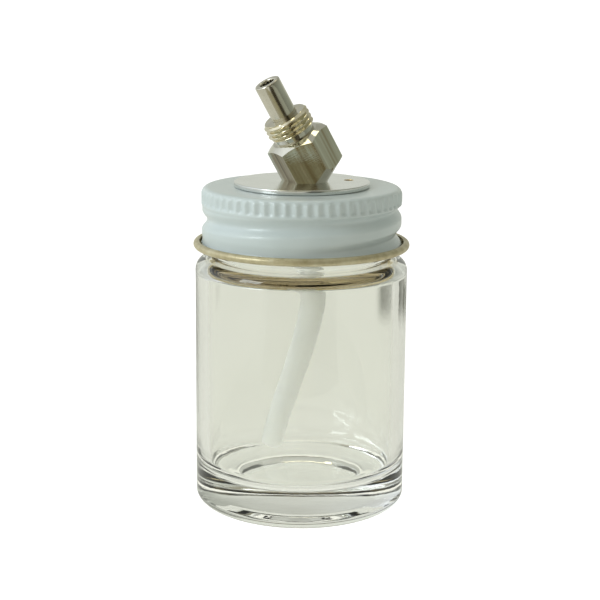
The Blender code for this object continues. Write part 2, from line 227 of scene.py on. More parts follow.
# ------------------------------------------------------------------------------------------
# shapes shared by the jar's neck and the cap
# ------------------------------------------------------------------------------------------
def groove_z(degrees):
    return GROOVE_Z_LEFT + PITCH * (degrees - 180.0) / 360.0


def groove_at(phi, z):
    """Depth of the rolled groove at each angle and height, in mm."""
    deepest = np.zeros_like(phi)
    for turn in (-1, 0, 1):
        along = np.degrees(phi) + 360.0 * turn
        inside = (along >= GROOVE_FROM) & (along <= GROOVE_TO)
        off = np.abs(z - groove_z(along))
        end = smooth(np.minimum((along - GROOVE_FROM) / 70.0, (GROOVE_TO - along) / 50.0))
        here = np.where(inside & (off < GROOVE_HALF),
                        end * np.cos(0.5 * math.pi * np.minimum(off / GROOVE_HALF, 1.0)) ** 2, 0.0)
        deepest = np.maximum(deepest, here)
    return GROOVE_DEPTH * deepest


def ridge_at(phi, z):
    """Height of the moulded glass thread over the neck at each angle and height, in mm."""
    highest = np.zeros_like(phi)
    for turn in (-1, 0, 1):
        along = np.degrees(phi) + 360.0 * turn
        inside = (along >= RIDGE_FROM) & (along <= RIDGE_TO)
        off = np.abs(z - groove_z(along) - RIDGE_OVER)
        end = smooth(np.minimum((along - RIDGE_FROM) / 22.0, (RIDGE_TO - along) / 22.0))
        here = np.where(inside, end * smooth((0.92 - off) / 0.62), 0.0)
        highest = np.maximum(highest, here)
    return (RIDGE_R - NECK_R) * highest


# ------------------------------------------------------------------------------------------
# materials
# ------------------------------------------------------------------------------------------
def new_material(name):
    mat = bpy.data.materials.new(name)
    mat.use_nodes = True
    tree = mat.node_tree
    return mat, tree, tree.nodes["Principled BSDF"]


def node(tree, kind, **settings):
    made = tree.nodes.new(kind)
    for key, value in settings.items():
        if key.startswith("in_"):
            made.inputs[key[3:].replace("_", " ")].default_value = value
        else:
            setattr(made, key, value)
    return made


def object_coords(tree, scale=(1, 1, 1), location=(0, 0, 0), rotation=(0, 0, 0)):
    coords = node(tree, "ShaderNodeTexCoord")
    mapping = node(tree, "ShaderNodeMapping")
    mapping.inputs["Scale"].default_value = scale
    mapping.inputs["Location"].default_value = location
    mapping.inputs["Rotation"].default_value = rotation
    tree.links.new(coords.outputs["Object"], mapping.inputs["Vector"])
    return mapping.outputs["Vector"]


def noise(tree, vector, scale, detail=3.0, rough=0.5, distortion=0.0):
    made = node(tree, "ShaderNodeTexNoise")
    made.inputs["Scale"].default_value = scale
    made.inputs["Detail"].default_value = detail
    made.inputs["Roughness"].default_value = rough
    made.inputs["Distortion"].default_value = distortion
    tree.links.new(vector, made.inputs["Vector"])
    return made.outputs["Fac"]


def ramp(tree, fac, stops):
    made = node(tree, "ShaderNodeValToRGB")
    while len(made.color_ramp.elements) > 1:
        made.color_ramp.elements.remove(made.color_ramp.elements[-1])
    first = True
    for position, colour in stops:
        colour = (*colour, 1.0) if len(colour) == 3 else colour
        if first:
            element = made.color_ramp.elements[0]
            element.position = position
            first = False
        else:
            element = made.color_ramp.elements.new(position)
        element.color = colour
    tree.links.new(fac, made.inputs["Fac"])
    return made.outputs["Color"]


def bump(tree, height, strength, distance, normal=None):
    made = node(tree, "ShaderNodeBump")
    made.inputs["Strength"].default_value = strength
    made.inputs["Distance"].default_value = distance
    tree.links.new(height, made.inputs["Height"])
    if normal is not None:
        tree.links.new(normal, made.inputs["Normal"])
    return made.outputs["Normal"]


def map_range(tree, value, low, high):
    made = node(tree, "ShaderNodeMapRange")
    made.inputs["To Min"].default_value = low
    made.inputs["To Max"].default_value = high
    tree.links.new(value, made.inputs["Value"])
    return made.outputs["Result"]


def glass_material():
    mat, tree, shader = new_material("moulded_glass")
    shader.inputs["Transmission Weight"].default_value = 1.0
    shader.inputs["IOR"].default_value = 1.52
    shader.inputs["Roughness"].default_value = 0.0
    vector = object_coords(tree)
    colour = ramp(tree, noise(tree, vector, 60.0, 2.0), [(0.3, (0.982, 0.988, 0.958)), (0.7, (0.988, 0.992, 0.972))])
    tree.links.new(colour, shader.inputs["Base Color"])
    # the slow ripple of moulded glass, stretched up the jar
    streaks = object_coords(tree, scale=(1, 1, 0.22))
    slow = noise(tree, streaks, 260.0, 2.0, 0.45)
    fine = noise(tree, vector, 900.0, 2.0, 0.5)
    normal = bump(tree, slow, 0.03, 0.0006)
    normal = bump(tree, fine, 0.04, 0.0001, normal)
    tree.links.new(normal, shader.inputs["Normal"])
    return mat


def enamel_material():
    mat, tree, shader = new_material("baked_enamel")
    vector = object_coords(tree)
    cloud = noise(tree, vector, 140.0, 3.0)
    colour = ramp(tree, cloud, [(0.25, (0.55, 0.62, 0.625)), (0.75, (0.60, 0.665, 0.67))])
    tree.links.new(colour, shader.inputs["Base Color"])
    shader.inputs["Coat Weight"].default_value = 0.35
    shader.inputs["Coat Roughness"].default_value = 0.16
    shader.inputs["Specular IOR Level"].default_value = 0.5
    tree.links.new(map_range(tree, noise(tree, vector, 900.0, 2.0), 0.30, 0.42), shader.inputs["Roughness"])
    peel = noise(tree, vector, 2600.0, 2.0, 0.5)
    waves = noise(tree, vector, 420.0, 2.0, 0.5)
    normal = bump(tree, waves, 0.12, 0.00025)
    normal = bump(tree, peel, 0.10, 0.00004, normal)
    tree.links.new(normal, shader.inputs["Normal"])
    return mat


def lacquer_material(name, low, middle, high, metallic):
    mat, tree, shader = new_material(name)
    vector = object_coords(tree)
    patches = noise(tree, vector, 520.0, 4.0, 0.6)
    colour = ramp(tree, patches, [(0.3, low), (0.55, middle), (0.8, high)])
    tree.links.new(colour, shader.inputs["Base Color"])
    shader.inputs["Metallic"].default_value = metallic
    tree.links.new(map_range(tree, noise(tree, vector, 1500.0, 3.0), 0.28, 0.46), shader.inputs["Roughness"])
    tree.links.new(bump(tree, noise(tree, vector, 1800.0, 3.0), 0.22, 0.00006), shader.inputs["Normal"])
    return mat


def rings_height(tree, vector, count, distortion=0.0):
    """Fine turned rings about the piece's axis."""
    waves = node(tree, "ShaderNodeTexWave", wave_type="RINGS", rings_direction="Z", wave_profile="SIN")
    waves.inputs["Scale"].default_value = count
    waves.inputs["Distortion"].default_value = distortion
    waves.inputs["Detail"].default_value = 2.0
    tree.links.new(vector, waves.inputs["Vector"])
    return waves.outputs["Fac"]


def disc_material():
    mat, tree, shader = new_material("turned_disc")
    vector = object_coords(tree)
    clouds = noise(tree, vector, 200.0, 4.0, 0.6)
    colour = ramp(tree, clouds, [(0.3, (0.66, 0.67, 0.645)), (0.7, (0.74, 0.75, 0.73))])
    tree.links.new(colour, shader.inputs["Base Color"])
    shader.inputs["Metallic"].default_value = 1.0
    tree.links.new(map_range(tree, noise(tree, vector, 700.0, 3.0), 0.12, 0.20), shader.inputs["Roughness"])
    rings = rings_height(tree, vector, 2600.0, 0.4)
    tree.links.new(bump(tree, rings, 0.05, 0.00002), shader.inputs["Normal"])
    return mat


def metal_material(name, dark, light, rough, drawn, place=Matrix.Identity(4), across=0.0):
    """Plated or machined metal; its draw marks run along the piece's own axis, and with across set its colour gets
    painted reflection streaks.
    """
    mat, tree, shader = new_material(name)
    own = object_coords(tree, rotation=place.to_3x3().inverted().to_euler())
    clouds = noise(tree, own, 420.0, 4.0, 0.6)
    tree.links.new(ramp(tree, clouds, [(0.3, dark), (0.7, light)]), shader.inputs["Base Color"])
    shader.inputs["Metallic"].default_value = 1.0
    tree.links.new(map_range(tree, noise(tree, own, 1300.0, 3.0), rough[0], rough[1]), shader.inputs["Roughness"])
    stretched = node(tree, "ShaderNodeMapping")
    stretched.inputs["Scale"].default_value = (1.0, 1.0, 0.05)
    tree.links.new(own, stretched.inputs["Vector"])
    draw = noise(tree, stretched.outputs["Vector"], 620.0, 2.0, 0.5)
    fine = noise(tree, stretched.outputs["Vector"], 4200.0, 2.0, 0.6)
    pits = noise(tree, own, 1500.0, 3.0, 0.6)
    normal = bump(tree, draw, 0.30 * drawn, 0.0002)
    normal = bump(tree, pits, 0.06, 0.00005, normal)
    normal = bump(tree, fine, 0.10, 0.00002, normal)
    if across:
        # painted reflection: darker brown streaks along the bar stand in for the room reflected in the flats
        painted_streak_coords = node(tree, "ShaderNodeMapping")
        painted_streak_coords.inputs["Scale"].default_value = (1.0, 1.0, 0.04)
        painted_streak_coords.inputs["Location"].default_value = (0.0052, 0.0031, 0.0)
        tree.links.new(own, painted_streak_coords.inputs["Vector"])
        bands = noise(tree, painted_streak_coords.outputs["Vector"], 360.0, 3.0, 0.55)
        tree.links.new(ramp(tree, bands, [(0.34, (0.20, 0.165, 0.10)), (0.41, (0.42, 0.35, 0.23)), (0.47, dark),
                                          (0.56, light)]), shader.inputs["Base Color"])
        # tool marks that run across the flats
        cutter = node(tree, "ShaderNodeMapping")
        cutter.inputs["Scale"].default_value = (0.03, 0.03, 1.0)
        tree.links.new(own, cutter.inputs["Vector"])
        normal = bump(tree, noise(tree, cutter.outputs["Vector"], 7000.0, 2.0, 0.6), across, 0.00003, normal)
        # the flats aren't quite flat: shallow hollows drawn along the bar
        bar = node(tree, "ShaderNodeMapping")
        bar.inputs["Scale"].default_value = (1.0, 1.0, 0.05)
        bar.inputs["Location"].default_value = (0.0131, 0.0072, 0.0)
        tree.links.new(own, bar.inputs["Vector"])
        normal = bump(tree, noise(tree, bar.outputs["Vector"], 300.0, 1.5, 0.5), 1.0, 0.00022, normal)
    tree.links.new(normal, shader.inputs["Normal"])
    return mat


def poly_material():
    """Milky tube: part of the light goes through it, spread out."""
    mat, tree, shader = new_material("polythene")
    vector = object_coords(tree)
    colour = ramp(tree, noise(tree, vector, 180.0, 3.0), [(0.3, (0.86, 0.865, 0.835)), (0.7, (0.91, 0.915, 0.89))])
    tree.links.new(colour, shader.inputs["Base Color"])
    shader.inputs["Transmission Weight"].default_value = 0.62
    shader.inputs["IOR"].default_value = 1.08
    shader.inputs["Subsurface Weight"].default_value = 1.0
    shader.inputs["Subsurface Radius"].default_value = (1.0, 1.0, 0.95)
    shader.inputs["Subsurface Scale"].default_value = 0.003
    shader.inputs["Coat Weight"].default_value = 0.25
    shader.inputs["Coat Roughness"].default_value = 0.35
    tree.links.new(map_range(tree, noise(tree, vector, 900.0, 3.0), 0.50, 0.65), shader.inputs["Roughness"])
    draw = object_coords(tree, scale=(1, 1, 0.1))
    tree.links.new(bump(tree, noise(tree, draw, 2400.0, 3.0), 0.15, 0.00005), shader.inputs["Normal"])
    return mat


def pulp_material():
    mat, tree, shader = new_material("faced_pulp")
    vector = object_coords(tree)
    colour = ramp(tree, noise(tree, vector, 900.0, 5.0, 0.7), [(0.25, (0.56, 0.46, 0.26)), (0.8, (0.68, 0.58, 0.36))])
    tree.links.new(colour, shader.inputs["Base Color"])
    tree.links.new(map_range(tree, noise(tree, vector, 2500.0, 3.0), 0.6, 0.85), shader.inputs["Roughness"])
    tree.links.new(bump(tree, noise(tree, vector, 5000.0, 4.0), 0.4, 0.00005), shader.inputs["Normal"])
    return mat


# ------------------------------------------------------------------------------------------
# pieces
# ------------------------------------------------------------------------------------------
def build_jar():
    rows = [(0.0, 1.0)] + run((0.6, 1.0), (8.0, 0.92), 5) + run((8.0, 0.92), (10.4, 0.55), 4)
    rows += [(10.4, 0.55), (11.0, 0.36), (11.5, 0.16), (11.9, 0.03), (12.1, 0.0), (12.7, 0.0)]
    rows += arc(13.25, 2.5, JAR_R - 13.25, 2.5, -90, 0, 14)
    rows += run((JAR_R, 3.5), (JAR_R, 40.0), 24)
    rows += arc(JAR_R - 2.1, SHOULDER_Z - 2.1, 2.1, 2.1, 0, 80, 12)
    rows += arc(NECK_R + 0.75, SHOULDER_Z + 0.95, 0.75, 0.75, 258, 180, 5)
    first_neck = len(rows)
    rows += run((NECK_R, SHOULDER_Z + 1.1), (NECK_R, RIM_Z - 0.75), 44)
    last_neck = len(rows)
    rows += arc(NECK_R - 0.7, RIM_Z - 0.7, 0.7, 0.7, 0, 90, 7)
    rows += arc(BORE_R + 0.5, RIM_Z - 0.5, 0.5, 0.5, 90, 180, 5)
    first_in = len(rows)
    rows += run((BORE_R, RIM_Z - 1.0), (BORE_R, SHOULDER_Z - 0.7), 5)
    # under the shoulder the inside turns sharply out, almost level
    rows += arc(BORE_R + 1.1, SHOULDER_Z - 0.7, 1.1, 1.1, 180, 256, 7)
    rows += run((BORE_R + 0.95, SHOULDER_Z - 1.79), (JAR_IN - 0.62, SHOULDER_Z - 2.22), 4)
    rows += arc(JAR_IN - 0.75, SHOULDER_Z - 2.95, 0.75, 0.75, 78, 0, 8)
    rows += run((JAR_IN, SHOULDER_Z - 3.2), (JAR_IN, FLOOR_Z + 4.0), 24)
    rows += arc(JAR_IN - 3.0, FLOOR_Z + 3.0, 3.0, 3.0, 0, -90, 12)
    rows += [(12.0, FLOOR_Z - 0.02), (11.5, FLOOR_Z - 0.12), (11.0, FLOOR_Z - 0.34), (10.6, FLOOR_Z - 0.52),
             (10.2, FLOOR_Z - 0.60)]
    rows += run((9.6, FLOOR_Z - 0.62), (0.6, FLOOR_Z - 0.45), 7) + [(0.0, FLOOR_Z - 0.45)]

    def shape(r, z, phi, row):
        if first_neck <= row < last_neck:
            return r + ridge_at(phi, z), z
        if row >= first_in:
            # the inside of pressed glass is a little uneven
            ease = smooth((r - 8.0) / 4.0) * smooth((z - FLOOR_Z) / 6.0) * smooth((RIM_Z - 4.0 - z) / 6.0)
            wave = 0.060 * np.sin(2 * phi + 0.7 + 0.02 * z) + 0.025 * np.sin(3 * phi - 1.1 - 0.03 * z)
            return r + ease * wave, z
        if 3.0 < z[0] < 40.0:
            return r - 0.02 + 0.02 * np.sin(4 * phi + 0.08 * z), z
        return r, z

    jar = turned("jar_glass", rows, 176, shape, sharp=60.0)
    return jar


def sheet_rows():
    """Centre line of the cap's tinplate from the centre hole to the end of the curl."""
    t = SHEET / 2
    line = run((3.35, CAP_TOP - t), (CAP_R - CAP_EDGE, CAP_TOP - t), 10)
    line += arc(CAP_R - CAP_EDGE, CAP_TOP - CAP_EDGE, CAP_EDGE - t, CAP_EDGE - t, 90, 0, 9)
    line += run((CAP_R - t, CAP_TOP - CAP_EDGE - 0.15), (CAP_R - t, BAND_LOW + 0.55), 8)
    line += [(CAP_R - t, BAND_LOW + 0.42), (CAP_R - t, BAND_LOW + 0.30), (CAP_R - t - 0.02, BAND_LOW + 0.18),
             (CAP_R - t - 0.06, BAND_LOW + 0.06), (SKIRT_R - t, BAND_LOW - 0.08)]
    line += run((SKIRT_R - t, BAND_LOW - 0.25), (SKIRT_R - t, CURL_Z + 0.95), 26)
    line += [(SKIRT_R - t + 0.01, CURL_Z + 0.75), (SKIRT_R - t + 0.06, CURL_Z + 0.50),
             (SKIRT_R - t + 0.18, CURL_Z + 0.22), (SKIRT_R - t + 0.34, CURL_Z - 0.06)]
    line += arc(CURL_C, CURL_Z, CURL_RHO, CURL_RHO, 204, 482, 26)
    return line


def build_cap():
    line = np.array(sheet_rows())
    ahead = np.gradient(line, axis=0)
    ahead /= np.linalg.norm(ahead, axis=1)[:, None]
    side = np.stack([-ahead[:, 1], ahead[:, 0]], axis=1)   # points out of the white face
    outer = line + side * SHEET / 2
    inner = line - side * SHEET / 2
    rows = [tuple(p) for p in outer] + [tuple(p) for p in inner[::-1]]
    count = len(line)
    centre_z = np.concatenate([line[:, 1], line[::-1, 1]])
    on_skirt = np.concatenate([np.arange(count) < count - 27, (np.arange(count) < count - 27)[::-1]])
    on_top = np.concatenate([line[:, 0] < CAP_R - CAP_EDGE - 0.01, (line[:, 0] < CAP_R - CAP_EDGE - 0.01)[::-1]])

    def shape(r, z, phi, row):
        if not on_skirt[row] or on_top[row]:
            return r, z
        height = float(centre_z[row])
        flute = (0.5 + 0.5 * np.cos(FLUTES * phi)) ** 0.8
        span = float(smooth((height - BAND_LOW - 0.42) / 0.40) * smooth((CAP_TOP - 0.20 - height) / 0.80))
        move = 0.36 * flute * span
        if height < BAND_LOW + 0.6:
            move = move + groove_at(phi, z) * float(smooth((BAND_LOW + 0.6 - height) / 0.9))
            belly = 0.10 * float(smooth((height - CURL_Z - 1.2) / 1.0) * smooth((BAND_LOW - 0.5 - height) / 1.0))
            move = move - belly
        return r - move, z

    # enamel on the outside of the sheet as far as the curl's underside; the lacquered side shows beyond it
    flare = count - 27
    return turned("cap_tinplate", rows, FLUTES * 8, shape, sharp=50.0,
                  paint=lambda row: 0 if row < flare - 2 else 1 if row < count + 27 else 2)


def drill(name, x, y, radius, z0, z1, segments=40):
    made = polygon_prism(name, segments, radius, z0, z1)
    made.data.transform(Matrix.Translation((x * MM, y * MM, 0)))
    return made


def build_disc():
    e = 0.16
    rows = [(1.96, DISC_Z0 + 0.05), (2.01, DISC_Z0)] + run((3.5, DISC_Z0), (DISC_R - e, DISC_Z0), 6)
    rows += arc(DISC_R - e, DISC_Z0 + e, e, e, -90, 0, 4) + arc(DISC_R - e, DISC_Z1 - e, e, e, 0, 90, 6)
    rows += run((DISC_R - e - 0.15, DISC_Z1), (2.01, DISC_Z1), 8) + [(2.01, DISC_Z1), (1.96, DISC_Z1 - 0.05)]
    disc = turned("disc_polished", rows, 160, sharp=40.0)
    cut(disc, drill("drill_disc", *VENT, DISC_Z0 - 1, DISC_Z1 + 1))
    countersink = turned("sink", [(0, DISC_Z1 - 0.6), (VENT[2] - 0.02, DISC_Z1 - 0.14), (VENT[2] + 0.3, DISC_Z1 + 0.18),
                                  (0, DISC_Z1 + 0.18)], 40)
    countersink.data.transform(Matrix.Translation((VENT[0] * MM, VENT[1] * MM, 0)))
    cut(disc, countersink)
    shade(disc, 35.0)
    for face in disc.data.polygons:
        away = math.hypot(face.center.x / MM - VENT[0], face.center.y / MM - VENT[1])
        if away < VENT[2] + 0.14 and abs(face.normal.z) < 0.9:
            face.material_index = 1
    return disc


def thread_rows_shape(rows_z):
    def shape(r, z, phi, row):
        if row not in rows_z:
            return r, z
        turns = z / THREAD_PITCH - phi / TAU
        wave = np.abs((turns % 1.0) - 0.5) * 2.0            # 0 at a root, 1 at a crest
        profile = np.clip((wave - 0.10) / 0.72, 0.0, 1.0)
        ends = smooth((z - THREAD_FROM) / 0.35)
        crest = np.minimum(THREAD_DEPTH, (THREAD_TO - z) * 1.0 + 0.06)
        root = THREAD_R - THREAD_DEPTH
        high = root + np.minimum(profile * THREAD_DEPTH, crest) * ends
        return np.where(z < THREAD_FROM + 0.01, UNDERCUT_R, high), z
    return shape


def build_fitting():
    hexagon = rounded_prism("hexagon", 6, HEX_FLATS / math.sqrt(3.0), -10.0, HEX_TOP + 1.0, math.radians(HEX_TURN), 0.16)
    tilted(hexagon)
    fall = math.tan(math.radians(30.0))
    chamfer = tilted(turned("chamfer", [(0.0, -12.0), (7.5, -12.0), (7.5, HEX_TOP - (7.5 - HEX_FACE_R) * fall),
                                        (HEX_FACE_R, HEX_TOP), (0.0, HEX_TOP)], 120))
    cut(hexagon, chamfer, "INTERSECT")
    seat = turned("seat", [(0.0, SEAT_Z), (SEAT_R, SEAT_Z), (13.0, SEAT_Z + (13.0 - SEAT_R) / fall),
                           (13.0, SEAT_Z + 24.0), (0.0, SEAT_Z + 24.0)], 120)
    cut(hexagon, seat, "INTERSECT")
    rows = [(0.0, 1.3), (UNDERCUT_R, 1.3), (UNDERCUT_R, THREAD_FROM - 0.25)]
    first = len(rows)
    steps = 56
    rows += [(THREAD_R, THREAD_FROM + (THREAD_TO - THREAD_FROM) * k / steps) for k in range(steps + 1)]
    threaded = set(range(first, len(rows)))
    rows += [(3.2, THREAD_TO), (2.9, THREAD_TO), (0.0, THREAD_TO)]
    neck = tilted(turned("neck", rows, 120, thread_rows_shape(threaded), sharp=40.0))
    cut(hexagon, neck, "UNION")
    bore = tilted(polygon_prism("bore", 64, TUBE_R + 0.03, 0.5, THREAD_TO + 1.0))
    cut(hexagon, bore)
    passage = tilted(polygon_prism("passage", 32, 1.0, -3.0, 1.0))
    cut(hexagon, passage)
    stub = polygon_prism("stub", 48, 1.95, SEAT_Z - 1.0, 59.0)
    cut(hexagon, stub)
    # close the hairline that the joins leave across the top face
    bm = bmesh.new()
    bm.from_mesh(hexagon.data)
    bmesh.ops.holes_fill(bm, edges=[edge for edge in bm.edges if edge.is_boundary], sides=0)
    bmesh.ops.recalc_face_normals(bm, faces=bm.faces)
    bm.to_mesh(hexagon.data)
    bm.free()
    hexagon.name = "fitting_nickel"
    return shade(hexagon, 26.0)


def build_tube():
    b = TUBE_BORE
    rows = [(b, 0.65), (TUBE_R, 0.65)] + run((TUBE_R, 0.8), (TUBE_R, TUBE_TO - 0.26), 12)
    rows += arc(TUBE_R - 0.24, TUBE_TO - 0.24, 0.24, 0.24, 0, 90, 5)
    rows += [(b + 0.22, TUBE_TO), (b + 0.10, TUBE_TO - 0.04), (b + 0.02, TUBE_TO - 0.16)]
    first = len(rows)
    rows += run((b, TUBE_TO - 0.30), (b, 0.8), 16)

    def shape(r, z, phi, row):
        if row >= first:
            fade = smooth((TUBE_TO - 0.25 - z) / 0.5) * smooth((z - 7.0) / 0.6)
            return r + 0.10 * np.cos(12 * phi) * fade, z
        return r, z

    return tilted(turned("tube_nickel", rows, 144, shape, sharp=40.0))


def dip_point(u):
    top, straight = 49.2, 44.5
    knee, end = Vector((1.95, 3.30, 34.0)), Vector((-5.10, 11.10, 7.15))
    knee_slope, end_slope = Vector((-0.17, 0.29, -1.0)), Vector((-0.22, 0.30, -1.0))
    if u <= 1.0:
        return Vector((0, 0, top + (straight - top) * u))
    if u <= 2.0:
        a, b, t, ta, tb = Vector((0, 0, straight)), knee, u - 1.0, Vector((0.0, 0.12, -1.0)), knee_slope
    else:
        a, b, t, ta, tb = knee, end, u - 2.0, knee_slope, end_slope
    span = abs(b.z - a.z)
    return (a * (2 * t**3 - 3 * t**2 + 1) + ta * (span * (t**3 - 2 * t**2 + t))
            + b * (3 * t**2 - 2 * t**3) + tb * (span * (t**3 - t**2)))


def dip_radii(u):
    if u < 1.0:
        return 2.40, 1.86
    ease = float(smooth((u - 1.0) / 0.25))
    taper = (u - 1.0) / 2.0
    outside, inside = 2.34 - 0.44 * taper, 1.70 - 0.40 * taper
    return 2.40 + (outside - 2.40) * ease, 1.86 + (inside - 1.86) * ease


def build_dip_tube():
    sides, stations = 48, [0.0, 0.01, 0.2, 0.4, 0.6, 0.8, 0.96]
    stations += [1.0 + 0.05 * k for k in range(1, 20)] + [2.0 + 0.04 * k for k in range(25)] + [2.985, 3.0]
    sideways = Vector((1, 0, 0))
    outer, inner = [], []
    for u in stations:
        ahead = (dip_point(min(3.0, u + 0.01)) - dip_point(max(0.0, u - 0.01))).normalized()
        sideways = (sideways - ahead * sideways.dot(ahead)).normalized()
        across = ahead.cross(sideways)
        centre = dip_point(u)
        ro, ri = dip_radii(u)
        if u in (0.0, 3.0):
            ro, ri = ro - 0.06, ri + 0.06
        for ring, radius in ((outer, ro), (inner, ri)):
            ring.append([(centre + (sideways * math.cos(TAU * k / sides) + across * math.sin(TAU * k / sides)) * radius) * MM
                         for k in range(sides)])
    loops = outer + inner[::-1]
    verts = [tuple(p) for loop in loops for p in loop]
    faces = []
    for i in range(len(loops)):
        a, b = i * sides, ((i + 1) % len(loops)) * sides
        for k in range(sides):
            j = (k + 1) % sides
            faces.append([a + k, a + j, b + j, b + k])
    return make("dip_tube", verts, faces, 50.0)


def build_liner():
    r0, r1, z0, z1 = 11.3, 15.5, 53.36, 54.32
    rows = [(r0, z0 + 0.1), (r0 + 0.1, z0)] + run((r0 + 0.3, z0), (r1 - 0.15, z0), 6)
    rows += arc(r1 - 0.15, z0 + 0.15, 0.15, 0.15, -90, 0, 3) + arc(r1 - 0.15, z1 - 0.15, 0.15, 0.15, 0, 90, 3)
    rows += run((r1 - 0.3, z1), (r0 + 0.1, z1), 6) + [(r0, z1 - 0.1)]

    def shape(r, z, phi, row):
        # the rim has pressed a shallow track into the underside
        track = np.exp(-((r - 13.9) / 0.55) ** 2) * (z < 53.8)
        return r, z + 0.08 * track
    return turned("liner_ring", rows, 120, shape, sharp=40.0)


def build_nipple():
    rows = [(0.90, BARB_Z + 0.05), (0.95, BARB_Z), (1.24, BARB_Z), (1.32, BARB_Z + 0.08), (1.72, BARB_Z + 1.2),
            (1.70, BARB_Z + 1.28), (1.45, BARB_Z + 1.34), (1.45, BARB_Z + 1.45), (1.72, BARB_Z + 2.6),
            (1.70, BARB_Z + 2.68), (1.45, BARB_Z + 2.74), (1.50, SHANK_Z0 - 0.5), (2.55, SHANK_Z0 - 0.45),
            (2.62, SHANK_Z0 - 0.38)]
    first = len(rows)
    steps = 90
    rows += [(SHANK_R, SHANK_Z0 - 0.3 + (54.70 - SHANK_Z0 + 0.3) * k / steps) for k in range(steps + 1)]
    threaded = set(range(first, len(rows)))
    rows += [(1.9, 54.72), (1.9, 58.5), (1.6, 58.8), (0.9, 58.8)]
    pitch = 25.4 / 28.0

    def shape(r, z, phi, row):
        if row not in threaded:
            return r, z
        wave = np.abs(((z / pitch - phi / TAU) % 1.0) - 0.5) * 2.0
        lead = np.minimum(1.0, (z - SHANK_Z0 + 0.35) / 0.5)
        return (SHANK_R - 0.48) + 0.48 * np.clip((wave - 0.1) / 0.75, 0.0, 1.0) * lead, z
    return turned("nipple_brass", rows, 72, shape, sharp=40.0)


def build_backing():
    r0, r1, z0, z1 = 3.3, 6.9, 53.48, 54.36
    rows = [(r0, z0 + 0.06), (r0 + 0.06, z0), (r1 - 0.12, z0)] + arc(r1 - 0.12, z0 + 0.12, 0.12, 0.12, -90, 0, 3)
    rows += arc(r1 - 0.12, z1 - 0.12, 0.12, 0.12, 0, 90, 3) + [(r0 + 0.06, z1), (r0, z1 - 0.06)]
    return turned("backing_plate", rows, 96, sharp=40.0)


def build_spring_washer():
    """A split ring whose two ends stand a little apart in height."""
    r0, r1, z0, z1 = 3.35, 5.1, 52.56, 53.34
    thick, steps = 0.62, 72
    verts, faces = [], []
    for k in range(steps + 1):
        angle = math.radians(5.0 + 350.0 * k / steps)
        lift = (z1 - z0 - thick) * k / steps
        for r, z in ((r0, z0), (r1 - 0.08, z0), (r1, z0 + 0.08), (r1, z0 + thick - 0.08), (r1 - 0.08, z0 + thick), (r0, z0 + thick)):
            verts.append((r * math.cos(angle) * MM, r * math.sin(angle) * MM, (z + lift) * MM))
    n = 6
    for k in range(steps):
        for i in range(n):
            j = (i + 1) % n
            faces.append([k * n + i, k * n + j, (k + 1) * n + j, (k + 1) * n + i])
    faces += [list(range(n)), list(range(steps * n, steps * n + n))[::-1]]
    return make("spring_ring", verts, faces, 35.0)


def build_nut():
    z0, z1 = 50.0, 52.46
    nut = rounded_prism("nut_hex", 6, HEX_FLATS / math.sqrt(3.0), z0, z1, math.radians(12), 0.14)
    flat, fall = HEX_FLATS / 2 - 0.1, math.tan(math.radians(30))
    drop = (6.5 - flat) * fall
    cut(nut, turned("nut_turn", [(0.0, z0), (flat, z0), (6.5, z0 + drop), (6.5, z1 - drop), (flat, z1), (0.0, z1)], 96),
        "INTERSECT")
    cut(nut, polygon_prism("nut_bore", 64, 3.22, z0 - 1, z1 + 1))
    return shade(nut, 28.0)


# ------------------------------------------------------------------------------------------
# put the object together
# ------------------------------------------------------------------------------------------
glass = glass_material()
enamel = enamel_material()
lacquer = lacquer_material("gold_lacquer", (0.40, 0.34, 0.20), (0.54, 0.48, 0.31), (0.62, 0.58, 0.43), 0.55)
# painted light: the inside lacquer is a lighter copy of the curl's lacquer, brightened to stand in for light that
# hardly reaches inside the cap
inside = lacquer_material("lacquered_inside_painted_lit", (0.80, 0.66, 0.36), (0.88, 0.75, 0.44), (0.90, 0.82, 0.58), 0.10)
disc_metal = disc_material()
nickel = metal_material("bright_nickel", (0.60, 0.575, 0.49), (0.70, 0.68, 0.60), (0.05, 0.10), 0.35, TILT)
# the hex flats' nickel carries painted reflection streaks in its colour
milled = metal_material("milled_nickel_painted_streaks", (0.56, 0.53, 0.41), (0.72, 0.70, 0.58), (0.07, 0.13), 0.6, TILT, 0.5)
# painted highlight: the threads' gold tint stands in for warm lamp highlights on the crests
painted_gold_threads = metal_material("nickel_painted_gold_highlights", (0.60, 0.54, 0.38), (0.82, 0.76, 0.58), (0.03, 0.06), 0.1, TILT)
tube_metal = metal_material("drawn_nickel", (0.58, 0.55, 0.46), (0.68, 0.65, 0.56), (0.10, 0.18), 0.15, TILT)
brass = metal_material("turned_brass", (0.58, 0.43, 0.18), (0.70, 0.54, 0.26), (0.18, 0.30), 0.2)
zinc = metal_material("bright_zinc", (0.52, 0.53, 0.54), (0.62, 0.63, 0.64), (0.25, 0.40), 0.3)
spring = metal_material("plain_steel", (0.34, 0.34, 0.35), (0.44, 0.44, 0.45), (0.25, 0.40), 0.3)
nut_metal = metal_material("plated_steel", (0.50, 0.50, 0.50), (0.60, 0.60, 0.60), (0.20, 0.32), 0.3)
poly = poly_material()
pulp = pulp_material()


def place(piece, mats, body, cad_node, slot_name):
    assign(piece, *mats)
    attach(piece, body)
    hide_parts(cad_node)
    return piece


jar = build_jar()
place(jar, [glass], "jar", "glass_jar", "clear_glass")
